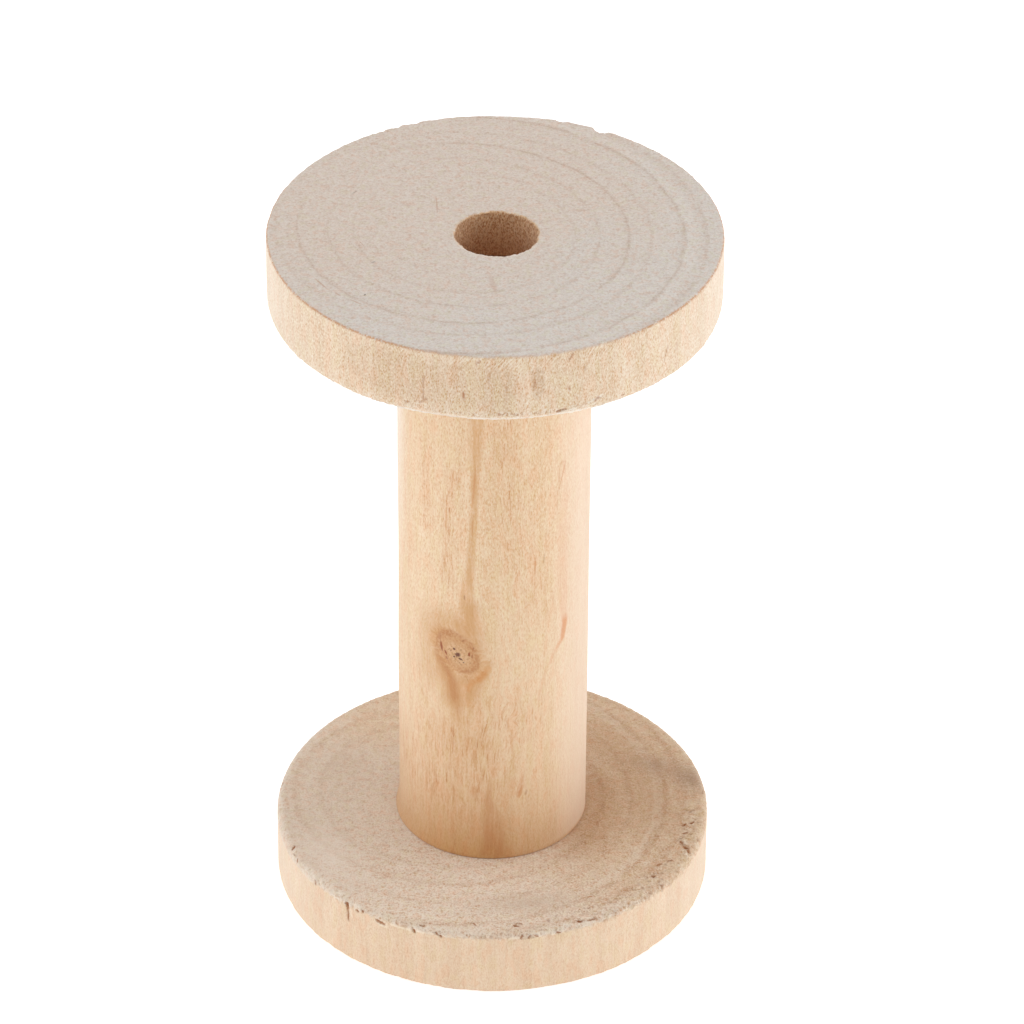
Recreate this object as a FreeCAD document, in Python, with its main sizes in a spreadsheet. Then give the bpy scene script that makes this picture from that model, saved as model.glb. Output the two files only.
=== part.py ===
import FreeCAD, Part
import math
import os

import Sketcher

from types import SimpleNamespace
from FreeCAD import Placement, Rotation, Vector

# A bare wooden thread spool: two turned discs glued on the ends of one barrel, bored right through.
# Millimetres. The origin is the centre of the lower disc's outer face, with +Z up the bore.

# The driving sizes: alias, value and what it measures.
SIZES = [
    ("spoolHeight", 81.0, "over the outer faces of both discs"),
    ("discDiameter", 47.0, "over the rim of a disc"),
    ("discThickness", 7.8, "of a disc, face to face"),
    ("outerEdgeRound", 0.4, "radius on the rim at a disc's outer face"),
    ("innerEdgeRound", 0.8, "radius on the rim at a disc's inner face"),
    ("boreDiameter", 8.6, "spindle hole right through the spool"),
    ("barrelDiameter", 20.3, "of the straight wall that thread is wound on"),
    ("flareReach", 0.3, "how far a foot of the barrel stands out past that wall"),
    ("flareHeight", 3.0, "length of the flare at each foot"),
    ("shoulderWidth", 2.4, "ledge round each spigot, which seats on a disc"),
    ("spigotLength", 2.0, "of the barrel's spigot, housed in a disc"),
    ("spigotChamfer", 0.3, "lead-in on the end of a spigot"),
    ("glueGap", 0.1, "room for glue round a spigot and past its end"),
]

# The sketcher numbers the ends of a side and a circle's centre from 1, and its own axes from -1 down.
START, END, CENTRE = range(1, 4)
LEVEL_AXIS, UPRIGHT_AXIS = range(-1, -3, -1)

# How near an edge has to lie to where it is looked for.
EDGE_TOLERANCE = 1e-6


class Length:
    """A length from the sheet, or worked out from others: its number and its expression."""

    def __init__(self, number, expression):
        self.number = number
        self.expression = expression

    def __add__(self, other):
        return Length(self.number + other.number, f"{self.expression} + {other.expression}")

    def __sub__(self, other):
        return Length(self.number - other.number, f"{self.expression} - ({other.expression})")

    def __mul__(self, factor):
        return Length(self.number * factor, f"({self.expression}) * {factor}")

    def __truediv__(self, divisor):
        return Length(self.number / divisor, f"({self.expression}) / {divisor}")


ZERO = Length(0.0, "0")


def fillSheet(doc):
    """One row for each driving size: its name, its value under an alias, and a note."""
    sheet = doc.addObject("Spreadsheet::Sheet", "sizes")
    for row, (alias, value, note) in enumerate(SIZES, start=1):
        sheet.set(f"A{row}", alias)
        sheet.set(f"B{row}", str(value))
        sheet.set(f"C{row}", note)
        sheet.setAlias(f"B{row}", alias)
    doc.recompute()
    return sheet


def readSizes(sheet):
    """The driving sizes, and the lengths that the barrel and the discs share."""
    size = SimpleNamespace()
    for alias, _, _ in SIZES:
        setattr(size, alias, Length(sheet.get(alias), f"sizes.{alias}"))
    size.boreRadius = size.boreDiameter / 2
    size.barrelRadius = size.barrelDiameter / 2
    size.footRadius = size.barrelRadius + size.flareReach
    size.spigotRadius = size.footRadius - size.shoulderWidth
    size.barrelSpan = size.spoolHeight - size.discThickness * 2
    return size


def addSketch(body, name, role):
    """An empty sketch on one of the body's own origin planes."""
    sketch = body.newObject("Sketcher::SketchObject", f"{body.Label}_{name}")
    plane = next(item for item in body.Origin.OriginFeatures if item.Role == role)
    sketch.AttachmentSupport = (plane, [""])
    sketch.MapMode = "FlatFace"
    return sketch


def pinCorner(sketch, side, end, radius, height):
    """Holds one end of a side at its two distances from the origin, or on an axis."""
    place = sketch.getPoint(side, end)
    if radius is ZERO:
        sketch.addConstraint(Sketcher.Constraint("PointOnObject", side, end, UPRIGHT_AXIS))
    else:
        across = Sketcher.Constraint("DistanceX", LEVEL_AXIS, START, side, end, place.x)
        sketch.setExpression(f"Constraints[{sketch.addConstraint(across)}]", radius.expression)
    if height is ZERO:
        sketch.addConstraint(Sketcher.Constraint("PointOnObject", side, end, LEVEL_AXIS))
    else:
        up = Sketcher.Constraint("DistanceY", LEVEL_AXIS, START, side, end, place.y)
        sketch.setExpression(f"Constraints[{sketch.addConstraint(up)}]", height.expression)


def bend(first, second, smooth):
    """Arc between two places, centred level with the smooth one, where it runs into a wall."""
    other = second if smooth is first else first
    reach = other.x - smooth.x
    rise = other.y - smooth.y
    offset = (reach ** 2 + rise ** 2) / (2 * reach)
    centre = Vector(smooth.x + offset, smooth.y, 0)
    circle = Part.Circle(centre, Vector(0, 0, 1), abs(offset))
    angles = [math.atan2(place.y - centre.y, place.x - centre.x) for place in (first, second)]
    if offset > 0:
        return Part.ArcOfCircle(circle, *reversed(angles)), END, START
    return Part.ArcOfCircle(circle, *angles), START, END


def drawOutline(sketch, corners, arcs):
    """Closes the corners, in order and anticlockwise, with sides that are pinned to the sheet.

    arcs names each side that is an arc, with the corner where it runs smoothly into a wall.
    """
    places = [Vector(radius.number, height.number, 0) for radius, height in corners]
    sides = []
    for index, place in enumerate(places):
        following = places[(index + 1) % len(places)]
        if index in arcs:
            shape, first, last = bend(place, following, places[arcs[index]])
        else:
            shape, first, last = Part.LineSegment(place, following), START, END
        sides.append((sketch.addGeometry(shape), first, last))
    for index, (radius, height) in enumerate(corners):
        previous, _, last = sides[index - 1]
        side, first, _ = sides[index]
        joint = "Tangent" if index in arcs.values() else "Coincident"
        sketch.addConstraint(Sketcher.Constraint(joint, previous, last, side, first))
        pinCorner(sketch, side, first, radius, height)


def turn(doc, body, corners, arcs):
    """The piece as it comes off the lathe: its outline turned about the spool's axis."""
    sketch = addSketch(body, "outline", "XZ_Plane")
    drawOutline(sketch, corners, arcs)
    blank = body.newObject("PartDesign::Revolution", f"{body.Label}_blank")
    blank.Profile = sketch
    blank.ReferenceAxis = (sketch, ["V_Axis"])
    blank.Angle = 360
    doc.recompute()


def drill(doc, body, name, radius, top, depth=None):
    """A round hole down the axis from a height in the piece, right through or to a depth."""
    before = body.Shape.Volume
    sketch = addSketch(body, f"{name}_circle", "XY_Plane")
    sketch.setExpression(".AttachmentOffset.Base.z", top.expression)
    circle = sketch.addGeometry(Part.Circle(Vector(0, 0, 0), Vector(0, 0, 1), radius.number))
    sketch.addConstraint(Sketcher.Constraint("Coincident", circle, CENTRE, LEVEL_AXIS, START))
    size = sketch.addConstraint(Sketcher.Constraint("Radius", circle, radius.number))
    sketch.setExpression(f"Constraints[{size}]", radius.expression)
    hole = body.newObject("PartDesign::Pocket", f"{body.Label}_{name}")
    hole.Profile = sketch
    if depth is None:
        hole.Type = "ThroughAll"
    else:
        hole.setExpression("Length", depth.expression)
    doc.recompute()
    if body.Shape.Volume >= before:
        raise RuntimeError(f"{hole.Name} cuts nothing")


def ringEdge(shape, radius, height):
    """Name of the round edge about the axis with that radius at that height."""
    for number, edge in enumerate(shape.Edges, start=1):
        if not isinstance(edge.Curve, Part.Circle):
            continue
        offset = abs(edge.Curve.Radius - radius.number) + abs(edge.Curve.Center.z - height.number)
        if offset < EDGE_TOLERANCE:
            return f"Edge{number}"
    raise RuntimeError(f"no round edge at radius {radius.number}, height {height.number}")


def chamferEdges(doc, body, name, amount, edges):
    """Chamfers the round edges given as (radius, height)."""
    base = body.Tip
    chamfer = body.newObject("PartDesign::Chamfer", f"{body.Label}_{name}")
    chamfer.Base = (base, [ringEdge(base.Shape, radius, height) for radius, height in edges])
    chamfer.setExpression("Size", amount.expression)
    doc.recompute()


def makeDisc(doc, label, size):
    """A disc on its outer face: rounded rim edges, a shallow socket in the inner face and the bore."""
    body = doc.addObject("PartDesign::Body", label)
    discRadius = size.discDiameter / 2
    turn(doc, body, [
        (ZERO, ZERO),
        (discRadius - size.outerEdgeRound, ZERO),
        (discRadius, size.outerEdgeRound),
        (discRadius, size.discThickness - size.innerEdgeRound),
        (discRadius - size.innerEdgeRound, size.discThickness),
        (ZERO, size.discThickness),
    ], arcs={1: 2, 3: 3})
    socketRadius = size.spigotRadius + size.glueGap
    socketDepth = size.spigotLength + size.glueGap
    drill(doc, body, "socket", socketRadius, size.discThickness, socketDepth)
    drill(doc, body, "bore", size.boreRadius, size.discThickness)
    return body


def makeBarrel(doc, label, size):
    """The barrel from the end of its lower spigot: shoulders, flared feet and a straight wall."""
    body = doc.addObject("PartDesign::Body", label)
    lowerShoulder = size.spigotLength
    upperShoulder = size.spigotLength + size.barrelSpan
    top = upperShoulder + size.spigotLength
    turn(doc, body, [
        (ZERO, ZERO),
        (size.spigotRadius, ZERO),
        (size.spigotRadius, lowerShoulder),
        (size.footRadius, lowerShoulder),
        (size.barrelRadius, lowerShoulder + size.flareHeight),
        (size.barrelRadius, upperShoulder - size.flareHeight),
        (size.footRadius, upperShoulder),
        (size.spigotRadius, upperShoulder),
        (size.spigotRadius, top),
        (ZERO, top),
    ], arcs={3: 4, 5: 5})
    drill(doc, body, "bore", size.boreRadius, top)
    spigotEnds = [(size.spigotRadius, ZERO), (size.spigotRadius, top)]
    chamferEdges(doc, body, "lead_in", size.spigotChamfer, spigotEnds)
    return body


def assemble(lowerDisc, barrel, upperDisc, size):
    """Seats the barrel's shoulders on the discs' inner faces, the upper disc upside down."""
    lowerDisc.Placement = Placement()
    barrel.setExpression(".Placement.Base.z", (size.discThickness - size.spigotLength).expression)
    upperDisc.Placement = Placement(Vector(0, 0, 0), Rotation(Vector(1, 0, 0), 180))
    upperDisc.setExpression(".Placement.Base.z", size.spoolHeight.expression)


def checkDocument(doc, bodies):
    """Stops at any failed object, and at any piece that isn't one sound solid."""
    for item in doc.Objects:
        if "Invalid" in item.State or "Error" in item.State:
            raise RuntimeError(f"{item.Name} is {item.State}")
    for body in bodies:
        shape = body.Shape
        if shape.isNull() or not shape.isValid() or len(shape.Solids) != 1:
            raise RuntimeError(f"{body.Label} is not one sound solid")


def main():
    doc = FreeCAD.newDocument("thread_spool")
    size = readSizes(fillSheet(doc))
    lowerDisc = makeDisc(doc, "lower_disc", size)
    barrel = makeBarrel(doc, "barrel", size)
    upperDisc = makeDisc(doc, "upper_disc", size)
    assemble(lowerDisc, barrel, upperDisc, size)
    doc.recompute()
    bodies = [lowerDisc, barrel, upperDisc]
    checkDocument(doc, bodies)
    os.makedirs("parts", exist_ok=True)
    for body in bodies:
        body.Shape.exportStep(os.path.join("parts", f"{body.Label}.step"))
        box = body.Shape.optimalBoundingBox()
        print(f"{body.Label}: {body.Shape.Volume:.0f} mm3, z {box.ZMin:.2f} to {box.ZMax:.2f}")


main()
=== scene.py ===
import math

import bpy
import numpy as np
from mathutils import Matrix, Vector


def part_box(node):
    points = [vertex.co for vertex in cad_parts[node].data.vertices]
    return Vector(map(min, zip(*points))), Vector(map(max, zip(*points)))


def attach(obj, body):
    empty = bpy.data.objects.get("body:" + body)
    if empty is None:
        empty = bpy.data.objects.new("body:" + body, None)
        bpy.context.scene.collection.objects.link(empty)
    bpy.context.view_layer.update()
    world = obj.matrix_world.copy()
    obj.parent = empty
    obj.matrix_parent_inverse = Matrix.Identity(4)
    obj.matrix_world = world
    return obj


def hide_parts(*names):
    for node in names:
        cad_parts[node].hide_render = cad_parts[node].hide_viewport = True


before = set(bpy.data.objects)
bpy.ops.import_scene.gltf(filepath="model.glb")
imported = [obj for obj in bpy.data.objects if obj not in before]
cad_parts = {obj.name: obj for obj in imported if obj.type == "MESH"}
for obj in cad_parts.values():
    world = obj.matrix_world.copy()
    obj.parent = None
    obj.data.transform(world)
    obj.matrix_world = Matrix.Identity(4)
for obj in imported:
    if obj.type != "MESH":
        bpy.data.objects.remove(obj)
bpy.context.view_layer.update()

mm = 0.001                                # every length below is in millimetres
print("spool: frame loaded, nodes", sorted(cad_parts))


def paint(red, green, blue):
    # a colour from a paint chart, 0 to 255, as the renderer's own linear values
    def linear(part):
        part /= 255
        return part / 12.92 if part <= 0.04045 else ((part + 0.055) / 1.055) ** 2.4
    return linear(red), linear(green), linear(blue), 1.0


# shapes: numbers for many points at once

def bumps(place, size, seed):
    # smooth bumps from -1 to 1, about one to every size mm, the same on every run
    cells = place / np.asarray(size, dtype=float)
    corner = np.floor(cells).astype(np.int64)
    part = cells - corner
    part = part * part * (3 - 2 * part)
    total = np.zeros(len(place))
    for near in range(8):
        step = np.array([near & 1, near >> 1 & 1, near >> 2 & 1])
        key = corner + step
        # large odd factors stir the corner's place and the seed into one number
        mixed = (key[:, 0] * 73856093) ^ (key[:, 1] * 19349663) ^ (key[:, 2] * 83492791) ^ (seed * 2654435)
        mixed = (mixed ^ (mixed >> 15)) * 668265263
        mixed = mixed ^ (mixed >> 13)
        value = (mixed & 65535) / 32767.5 - 1
        total += value * np.prod(np.where(step, part, 1 - part), axis=1)
    return total


def ease(value, start, end):
    # 0 before start, 1 past end and smooth between; start may be the larger one
    share = np.clip((value - start) / (end - start), 0, 1)
    return share * share * (3 - 2 * share)


def aside(angle, middle):
    # how many degrees an angle is past another, the short way round
    return (angle - middle + 180) % 360 - 180


def apart(angle, middle):
    # the same, whichever way it is
    return np.abs(aside(angle, middle))


def stroke(angle, along, radius, mark, core):
    # how much of a point lies on a straight mark, from 0 to 1; core is the share of its width that is full
    fromAngle, fromAlong, toAngle, toAlong, width = mark[:5]
    arc = math.radians(radius)
    x = aside(angle, fromAngle) * arc
    y = along - fromAlong
    dx = (toAngle - fromAngle) * arc
    dy = toAlong - fromAlong
    share = np.clip((x * dx + y * dy) / max(dx * dx + dy * dy, 1e-6), 0, 1)
    return ease(np.hypot(x - share * dx, y - share * dy), width, width * core)


def strokes(angle, along, radius, marks, core):
    # the strongest of several marks at each point; a mark's sixth number is its strength
    total = np.zeros(len(angle))
    for mark in marks:
        strength = mark[5] if len(mark) > 5 else 1.0
        total = np.maximum(total, strength * stroke(angle, along, radius, mark, core))
    return total


# turned pieces: rings of points round the Z axis, angle 0 at the front and 90 at the right

def run(start, end, step, ring, part):
    # rows from start towards end, each (radius, depth), about step mm apart, ring points in each
    number = max(1, round(math.dist(start, end) / step))
    rows = []
    for k in range(number):
        share = k / number
        radius = start[0] + (end[0] - start[0]) * share
        rows.append((radius, start[1] + (end[1] - start[1]) * share, ring, part))
    return rows


def path(*corners):
    # rows through corners, each (radius, depth, step, ring, part), the last one only (radius, depth)
    rows = []
    for corner, after in zip(corners, corners[1:]):
        rows += run(corner[:2], after[:2], *corner[2:])
    return rows


def bend(middle, radius, first, last, step, ring, part):
    # rows round a rounded edge; the angle is 0 outwards and 90 towards depth 0
    number = max(2, round(radius * math.radians(abs(last - first)) / step))
    rows = []
    for k in range(number):
        angle = math.radians(first + (last - first) * k / number)
        rows.append((middle[0] + radius * math.cos(angle), middle[1] - radius * math.sin(angle), ring, part))
    return rows


class Turning:
    # one turned piece: its points, the way its skin faces, and the part of the outline they are on

    def __init__(self, rows, level, up):
        self.rings = [row[2] for row in rows]
        self.up = up                      # 1 where depth goes down from level, -1 where it goes up
        self.radius = np.repeat([row[0] for row in rows], self.rings)
        self.depth = np.repeat([row[1] for row in rows], self.rings)
        self.part = np.repeat([row[3] for row in rows], self.rings)
        self.angle = aside(np.concatenate([np.arange(n) * 360.0 / n for n in self.rings]), 0)
        outline = np.array([row[:2] for row in rows])
        way = np.roll(outline, -1, axis=0) - np.roll(outline, 1, axis=0)
        way /= np.linalg.norm(way, axis=1, keepdims=True)
        self.outward = np.repeat(way[:, 1], self.rings)
        self.upward = np.repeat(way[:, 0], self.rings) * up
        self.height = level - up * self.depth
        self.shift = np.zeros((len(self.radius), 2))

    def on(self, *parts):
        return np.isin(self.part, parts).astype(float)

    def push(self, amount):
        # moves the skin outwards, or inwards where amount is negative
        self.radius = self.radius + self.outward * amount
        self.height = self.height + self.upward * amount

    def points(self):
        turn = np.radians(self.angle)
        x = self.radius * np.sin(turn) + self.shift[:, 0]
        y = -self.radius * np.cos(turn) + self.shift[:, 1]
        return np.stack([x, y, self.height], axis=1)

    def faces(self):
        starts = np.concatenate([[0], np.cumsum(self.rings)])
        made = []
        for i, size in enumerate(self.rings):
            j = (i + 1) % len(self.rings)
            other = self.rings[j]
            if size == other:
                here = np.arange(size)
                after = (here + 1) % size
                band = [starts[i] + here, starts[j] + here, starts[j] + after, starts[i] + after]
                made += np.stack(band, axis=1).tolist()
            else:
                made += fan(starts[i], size, starts[j], other)
        if self.up < 0:
            made = [face[::-1] for face in made]
        return made


def fan(first, size, second, other):
    # triangles between two rings where one has a whole number of times the points of the other
    few, many = min(size, other), max(size, other)
    lowStart, highStart = (first, second) if size < other else (second, first)
    times = many // few
    half = times // 2
    made = []
    for k in range(few):
        here, after = lowStart + k, lowStart + (k + 1) % few
        edge = [highStart + (k * times + j) % many for j in range(times + 1)]
        made += [[here, edge[j], edge[j + 1]] for j in range(half)]
        made.append([here, edge[half], after])
        made += [[after, edge[j], edge[j + 1]] for j in range(half, times)]
    return made if size < other else [face[::-1] for face in made]


def meshPiece(name, turned, marks, material):
    mesh = bpy.data.meshes.new(name)
    mesh.from_pydata((turned.points() * mm).tolist(), [], turned.faces())
    mesh.shade_smooth()
    for key, values in marks.items():
        kind, field = ("FLOAT", "value") if values.ndim == 1 else ("FLOAT_VECTOR", "vector")
        layer = mesh.attributes.new(key, kind, "POINT")
        layer.data.foreach_set(field, values.astype(np.float32).ravel())
    mesh.materials.append(material)
    mesh.update()
    piece = bpy.data.objects.new(name, mesh)
    bpy.context.collection.objects.link(piece)
    return piece


def dress(piece, node):
    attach(piece, "root")
    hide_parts(node)
    print("spool:", piece.name, "has", len(piece.data.polygons), "faces")


# materials: wood as sums on values

class Wire:
    # one value, colour or vector inside a material, so that its maths reads as maths

    def __init__(self, mixture, socket):
        self.mixture = mixture
        self.socket = socket

    def maths(self, kind, first, second):
        return self.mixture.node("ShaderNodeMath", {"operation": kind}, {0: first, 1: second})

    def __add__(self, other):
        return self.maths("ADD", self, other)

    def __radd__(self, other):
        return self.maths("ADD", other, self)

    def __sub__(self, other):
        return self.maths("SUBTRACT", self, other)

    def __rsub__(self, other):
        return self.maths("SUBTRACT", other, self)

    def __mul__(self, other):
        return self.maths("MULTIPLY", self, other)

    def __rmul__(self, other):
        return self.maths("MULTIPLY", other, self)

    def __truediv__(self, other):
        return self.maths("DIVIDE", self, other)

    def most(self, other):
        return self.maths("MAXIMUM", self, other)

    def ease(self, start, end):
        # 0 before start, 1 past end and smooth between
        return self.mixture.node("ShaderNodeMapRange", {"interpolation_type": "SMOOTHSTEP"},
                                 {"Value": self, "From Min": start, "From Max": end})


class Mixture:
    # a material while it is being put together; colour is what its layers have given so far

    def __init__(self, name, look=None):
        self.look = look
        self.colour = None
        self.material = bpy.data.materials.new(name)
        self.material.use_nodes = True
        self.tree = self.material.node_tree
        self.tree.nodes.clear()

    def node(self, kind, settings=None, sockets=None, out=0):
        # adds a node: its settings first, then the values and links of its sockets
        made = self.tree.nodes.new(kind)
        for key, value in (settings or {}).items():
            if key == "stops":
                self.stops(made.color_ramp.elements, value)
            else:
                setattr(made, key, value)
        for key, value in (sockets or {}).items():
            if isinstance(value, Wire):
                self.tree.links.new(value.socket, made.inputs[key])
            else:
                made.inputs[key].default_value = value
        return Wire(self, made.outputs[out]) if made.outputs else None

    def stops(self, elements, wanted):
        while len(elements) > 1:
            elements.remove(elements[-1])
        elements[0].position, elements[0].color = wanted[0]
        for position, colour in wanted[1:]:
            elements.new(position).color = colour

    def number(self, name):
        return self.node("ShaderNodeAttribute", {"attribute_name": name}, out="Fac")

    def vector(self, name):
        return self.node("ShaderNodeAttribute", {"attribute_name": name}, out="Vector")

    def move(self, kind, first, second):
        return self.node("ShaderNodeVectorMath", {"operation": kind}, {0: first, 1: second})

    def axes(self, vector, count):
        # its first numbers, x, y and z
        return (self.node("ShaderNodeSeparateXYZ", {}, {0: vector}, out=k) for k in range(count))

    def noise(self, place, scale, detail=2, rough=0.5):
        # scale is bumps per mm, one number or one for each axis
        if not isinstance(scale, (int, float)):
            place, scale = self.move("MULTIPLY", place, scale), 1
        return self.node("ShaderNodeTexNoise", {},
                         {"Vector": place, "Scale": scale, "Detail": detail, "Roughness": rough})

    def speck(self, flat, mark, ragged, full=0.4):
        # one oval mark, 1 in its middle, 0 outside: (across, up, half length, half width, turn in degrees)
        across, up, long, wide, turn = mark
        moved = self.move("SUBTRACT", flat, (across, up, 0))
        turned = self.node("ShaderNodeVectorRotate", {"rotation_type": "Z_AXIS"},
                           {"Vector": moved, "Angle": -math.radians(turn)})
        sized = self.move("MULTIPLY", turned, (1 / long, 1 / wide, 0))
        away = self.node("ShaderNodeVectorMath", {"operation": "LENGTH"}, {0: sized}, out="Value")
        return (away + 0.7 * (ragged - 0.5)).ease(1, full)

    def blend(self, share, first, second, kind="MIX"):
        # first and second are wires or colours from the paint chart
        first, second = (value if isinstance(value, Wire) else paint(*value) for value in (first, second))
        return self.node("ShaderNodeMix", {"data_type": "RGBA", "blend_type": kind},
                         {0: share, 6: first, 7: second}, out=2)

    def cover(self, share, tone):
        # lays one of the look's colours over the colour so far
        self.colour = self.blend(share, self.colour, self.look[tone])

    def stain(self, share, tone):
        # darkens the colour so far by one of the look's colours
        self.colour = self.blend(share, self.colour, self.look[tone], "MULTIPLY")

    def finish(self, roughness, height, depth):
        # joins colour, roughness and relief to the surface; depth is the relief's full height in mm
        bump = self.node("ShaderNodeBump", {}, {"Strength": 1, "Distance": depth * mm, "Height": height})
        skin = self.node("ShaderNodeBsdfPrincipled", {},
                         {"Base Color": self.colour, "Roughness": roughness, "Normal": bump,
                          "Specular IOR Level": self.look["gloss"], "Sheen Weight": self.look["fuzz"],
                          "Sheen Roughness": 0.6})
        self.node("ShaderNodeOutputMaterial", {}, {"Surface": skin})
        return self.material


def blush(wood, place, scale, share):
    # slight changes of hue, here a little rosier and there a little greener
    hue = wood.noise(place, scale, 2, 0.6)
    wood.stain(hue.ease(0.5, 0.66) * share, "rosier")
    wood.stain(hue.ease(0.5, 0.34) * share, "greener")


def sideGrain(wood, grain, dashes=1.0, nap=1.0):
    # the long fibres: broad bands, fine streaks, short dark vessel lines and loose fuzz; returns their relief
    look = wood.look
    bands = wood.noise(grain, (0.5, 0.5, 0.03))
    streaks = wood.noise(grain, (4.5, 4.5, 0.35), 3)
    lines = wood.noise(grain, (6.5, 6.5, 0.45), 1)
    patches = wood.noise(grain, (0.45, 0.45, 0.09), 1)
    fuzz = wood.noise(grain, look["fuzzScale"], 3, 0.65)
    vessels = lines.ease(0.6, 0.7) * patches.ease(0.42, 0.62) * dashes
    wood.colour = wood.blend(bands.ease(0.3, 0.7), look["deep"], look["pale"])
    wood.stain(streaks.ease(0.6, 0.3) * look["streaks"], "streakTint")
    wood.stain(vessels * look["vessels"], "vesselTint")
    wood.cover(fuzz.ease(0.5, 0.66) * nap * look["fuzzPale"], "fuzzAndHighlight")
    wood.stain(fuzz.ease(0.5, 0.34) * nap * look["fuzzDark"], "fuzzTint")
    blush(wood, grain, (1, 1, 0.35), 0.65)
    return 0.3 * streaks + 0.8 * fuzz - 0.15 * vessels


def ringRamp(look, length):
    # each growth ring darkens slowly outwards and ends at once; a ramp holds 32 stops, so 8 rings at most
    stops = []
    for radius, strength, width in look["rings"]:
        steps = ((radius - width, 0), (radius - 0.25 * width, look["ringSoft"] * strength),
                 (radius, strength), (radius + look["ringTail"], 0))
        stops += [(place / length, (level, level, level, 1)) for place, level in steps]
    return stops


def endGrain(wood, grain):
    # the cut fibre ends: growth rings round the pith, faint rays and a nap of fine dots; returns their relief
    look = wood.look
    flat = wood.move("MULTIPLY", grain, (1, 1, 0))
    wander = wood.noise(flat, 0.4)
    reach = wood.number("ringPlace") + look["ringWander"] * (wander - 0.5)
    rampLength = 30
    stops = ringRamp(look, rampLength)
    rings = wood.node("ShaderNodeValToRGB", {"stops": stops}, {"Fac": reach / rampLength})
    x, y = wood.axes(flat, 2)
    turn = x.maths("ARCTAN2", y, x)
    rays = wood.noise(wood.node("ShaderNodeCombineXYZ", {}, {0: turn * 30, 1: reach * 0.35}), 1)
    patchy = wood.noise(flat, 0.35, 3, 0.6)
    dots = wood.noise(grain, look["dotScale"], 3, 0.7)
    pink = wood.noise(grain, 0.58 * look["dotScale"], 2, 0.6)
    scratches = wood.noise(flat, look["scratches"], 2, 0.6)
    mottle = wood.noise(flat, 0.12, 3, 0.6)
    clouds = wood.noise(flat, 1.1, 4, 0.7)
    cool = wood.number("cool")
    wood.colour = wood.blend((0.7 * mottle + 0.6 * cool).ease(0.3, 0.75), look["faceWarm"], look["faceGrey"])
    lightFrom, lightTo = look["lightBand"]
    light = reach.ease(lightFrom, lightFrom + 0.25) * reach.ease(lightTo + 0.6, lightTo)
    wood.cover(light * look["lightShare"], "faceFuzz")
    clear = wood.number("ringClear") * patchy.ease(0.25, 0.55) * look["ringDepth"]
    wood.stain(rings * clear, "ringTint")
    wood.stain(rays.ease(0.55, 0.75) * look["rays"], "ringTint")
    nap = wood.number("nap")
    blush(wood, grain, 1, 0.8)
    wood.stain(pink.ease(0.5, 0.7) * nap * look["speckles"], "speckleTint")
    wood.stain(clouds.ease(0.52, 0.3) * look["clouds"], "dotTint")
    wood.cover(clouds.ease(0.48, 0.7) * look["clouds"], "faceFuzz")
    wood.stain(dots.ease(0.5, 0.3) * nap * look["dotDark"], "dotTint")
    wood.cover(dots.ease(0.5, 0.7) * nap * look["dotPale"], "faceFuzz")
    wood.cover(scratches.ease(0.55, 0.75) * look["scratchPale"], "faceFuzz")
    wood.stain(scratches.ease(0.42, 0.3) * look["scratchPale"], "dotTint")
    return dots + 0.3 * patchy + 0.4 * scratches


# discs

discSizes = {
    "bore": 4.3,                          # radius of the spindle bore
    "lip": 0.12,                          # worn corner at the bore's mouth
    "outerRound": 0.35, "innerRound": 0.8,
    "socket": 8.15,                       # radius of the socket for the barrel
    "socketDepth": 2.1,
}

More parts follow.
